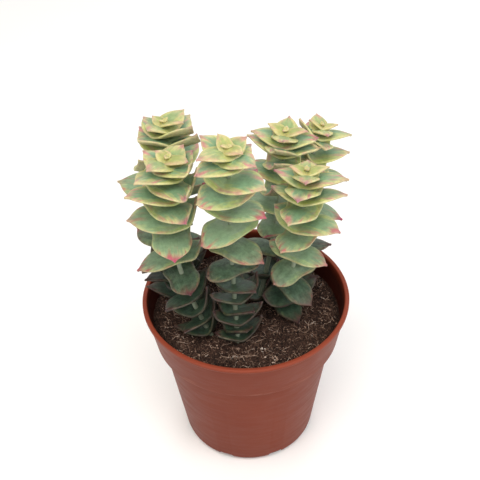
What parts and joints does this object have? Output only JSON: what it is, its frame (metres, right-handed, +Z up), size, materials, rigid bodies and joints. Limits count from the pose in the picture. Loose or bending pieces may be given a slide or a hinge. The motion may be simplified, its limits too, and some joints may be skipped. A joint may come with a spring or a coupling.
{
  "type": "potted string of buttons succulent",
  "caption": "Variegated string of buttons: upright stems of stacked, paired, pointed succulent leaves in peat, in a round terracotta-coloured plastic nursery pot.",
  "frame": {"origin": "centre of the flat underside of the pot, on the surface that it stands on", "axes": "+Z up along the pot's axis, +Y towards the back of the plant, +X to the right as seen from the front"},
  "size_m": [0.1135, 0.105, 0.1972],
  "materials": {
    "pot_plastic": "satin",
    "peat_soil": "matte",
    "succulent_leaf": "satin"
  },
  "bodies": {
    "root": {"pot": "pot_plastic", "soil": "peat_soil", "leafy_stem_front": "succulent_leaf", "leafy_stem_front_left": "succulent_leaf", "leafy_stem_front_right": "succulent_leaf", "leafy_stem_back_left": "succulent_leaf", "leafy_stem_back_middle": "succulent_leaf", "leafy_stem_back_right": "succulent_leaf"}
  },
  "joints": []
}
